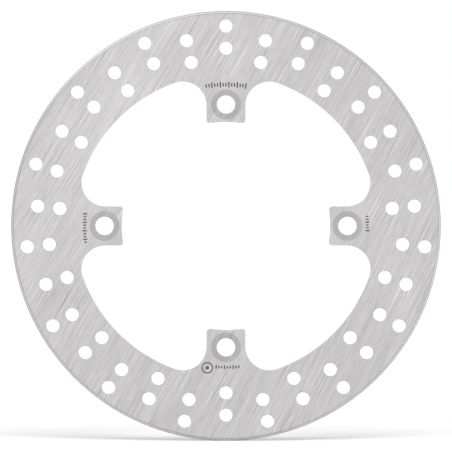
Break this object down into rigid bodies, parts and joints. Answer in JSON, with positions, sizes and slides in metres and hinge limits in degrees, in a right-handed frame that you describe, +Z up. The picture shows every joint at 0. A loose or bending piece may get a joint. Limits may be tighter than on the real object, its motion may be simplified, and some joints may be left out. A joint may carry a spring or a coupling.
{
  "type": "brake disc rotor",
  "caption": "Flat ground-steel motorcycle brake disc with a drilled friction ring and inner tabs that bolt it to the wheel hub.",
  "frame": {"origin": "centre of the bolt circle, on the back face that rests on the hub", "axes": "+Y along the disc's axis, from the front face towards the hub; +Z up through one bolt tab; +X to the right seen from the front"},
  "size_m": [0.245, 0.005, 0.245],
  "materials": {
    "ground_steel": "surface ground stainless steel with long fine grinding lines"
  },
  "bodies": {
    "root": {"brake_disc": "ground_steel"}
  },
  "joints": []
}
